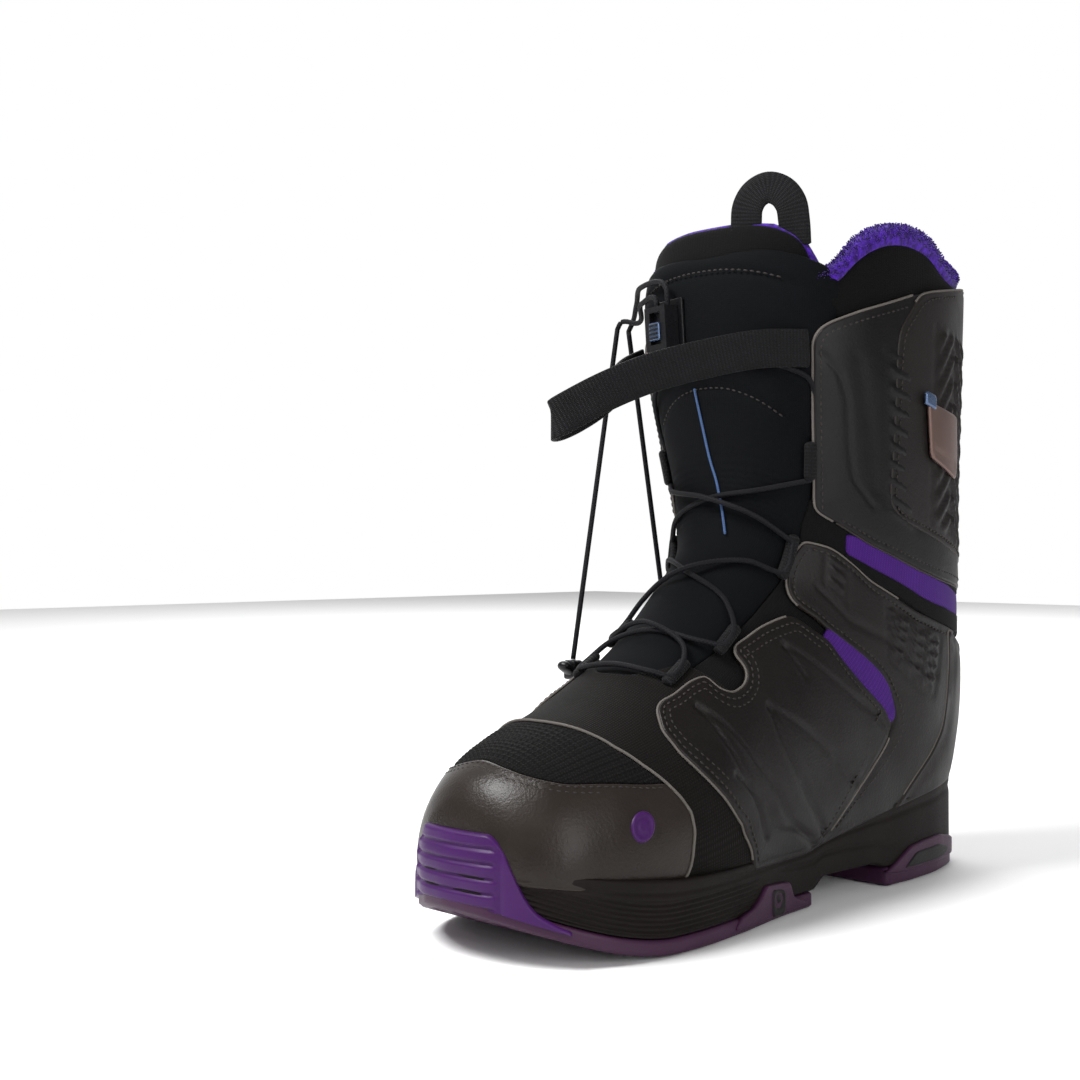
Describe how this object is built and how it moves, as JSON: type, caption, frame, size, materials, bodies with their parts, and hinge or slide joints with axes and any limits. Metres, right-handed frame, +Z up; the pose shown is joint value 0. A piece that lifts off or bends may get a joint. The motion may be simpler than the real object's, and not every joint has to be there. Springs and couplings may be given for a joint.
{
  "type": "snowboard boot",
  "caption": "Left snowboard boot with a lasted rubber sole, leather panels, hinging cuff, padded tongue, removable liner, corded lacing with a lock, and a pull handle.",
  "frame": {"origin": "on the ground under the middle of the heel lug", "axes": "+X towards the toe, +Y to the wearer's left (the outer side of this left boot), +Z up"},
  "size_m": [0.3087, 0.1409, 0.31],
  "materials": {
    "purple_rubber": "moulded satin rubber",
    "midsole_foam": "moulded foam, matt",
    "board": "fibre board",
    "footbed_foam": "fabric covered foam",
    "smooth_leather": "smooth black coated leather, satin",
    "toe_mesh": "ribbed mesh",
    "stiffener": "thermoplastic sheet",
    "upper_textile": "woven textile",
    "purple_stretch": "stretch fabric",
    "webbing": "ribbed webbing",
    "lace": "braided cord",
    "keeper_cord": "thin braided cord",
    "tongue_fabric": "padded fabric, matt",
    "liner_fabric": "foam liner with knitted face",
    "fleece": "deep pile fleece",
    "lock_plastic": "moulded nylon",
    "grip_rubber": "textured grip",
    "tab_metal": "lacquered metal"
  },
  "bodies": {
    "foot": {"outsole_heel": "purple_rubber", "outsole_forefoot": "purple_rubber", "midsole": "midsole_foam", "toe_bumper": "purple_rubber", "lasting_board": "board", "toe_cap": "smooth_leather", "toe_mesh": "toe_mesh", "toe_puff": "stiffener", "vamp": "upper_textile", "heel_counter": "smooth_leather", "shell_foot": "upper_textile", "quarter_lateral": "smooth_leather", "quarter_medial": "smooth_leather", "gusset_lateral": "purple_stretch", "gusset_medial": "purple_stretch", "ankle_strap_lateral": "smooth_leather", "ankle_strap_medial": "smooth_leather", "stretch_strip_lateral": "purple_stretch", "stretch_strip_medial": "purple_stretch", "lace_channel_vamp_lateral": "webbing", "lace_channel_vamp_medial": "webbing", "lace_channel_quarter_lateral": "webbing", "lace_channel_quarter_medial": "webbing", "lace_channel_strap_lateral": "webbing", "lace_channel_strap_medial": "webbing", "lace_ankle_lateral": "lace", "lace_ankle_medial": "lace", "tongue_lower": "tongue_fabric", "tongue_flex_panel": "tongue_fabric", "liner_foot": "liner_fabric", "liner_ankle": "liner_fabric", "footbed": "footbed_foam", "lace_lower": "lace"},
    "cuff": {"cuff_lateral": "smooth_leather", "cuff_medial": "smooth_leather", "cuff_backstay": "smooth_leather", "cuff_tab": "tab_metal", "shell_shaft": "upper_textile", "lace_channel_cuff_lateral": "webbing", "lace_channel_cuff_medial": "webbing", "lace_upper_lateral": "lace", "lace_upper_medial": "lace", "tongue_upper": "tongue_fabric", "liner_shaft": "liner_fabric", "liner_tongue": "liner_fabric", "liner_collar": "fleece", "lace_keeper": "keeper_cord", "lock_base": "lock_plastic", "lock_body": "lock_plastic", "handle_lead_front": "lace", "handle_lead_rear": "lace"},
    "lock_slider": {"lock_slider": "lock_plastic"},
    "handle": {"handle_cord_front": "lace", "handle_cord_rear": "lace", "handle_rail": "lock_plastic", "handle_grip": "grip_rubber", "handle_rivet": "tab_metal"},
    "webbing_loop": {"webbing_loop": "webbing"},
    "liner_pull_loop": {"liner_pull_loop": "webbing"}
  },
  "joints": [
    {"name": "cuff_flex", "type": "hinge", "parent": "foot", "child": "cuff", "pos_m": [0.035, 0, 0.11], "axis": [0, 1, 0], "range_deg": [0, 7], "stiffness_Nm_per_rad": 60, "deforming": ["stretch_strip_lateral", "stretch_strip_medial", "tongue_flex_panel", "liner_ankle", "lace_ankle_lateral", "lace_ankle_medial"]},
    {"name": "lock_slide", "type": "slide", "parent": "cuff", "child": "lock_slider", "axis": [0.0412, -0.0324, 0.9986], "range_m": [0, 0.004], "stiffness_N_per_m": 300},
    {"name": "handle_swing", "type": "hinge", "parent": "cuff", "child": "handle", "pos_m": [0.075, -0.072, 0.252], "axis": [-1, 0, 0], "range_deg": [0, 45]},
    {"name": "webbing_fold", "type": "hinge", "parent": "cuff", "child": "webbing_loop", "pos_m": [0.088, 0, 0.232], "axis": [0, 1, 0], "range_deg": [-32, 12]},
    {"name": "pull_loop_fold", "type": "hinge", "parent": "cuff", "child": "liner_pull_loop", "pos_m": [0.0878, 0.0246, 0.283], "axis": [-0.4394, 0.8983, 0], "range_deg": [0, 60]}
  ]
}
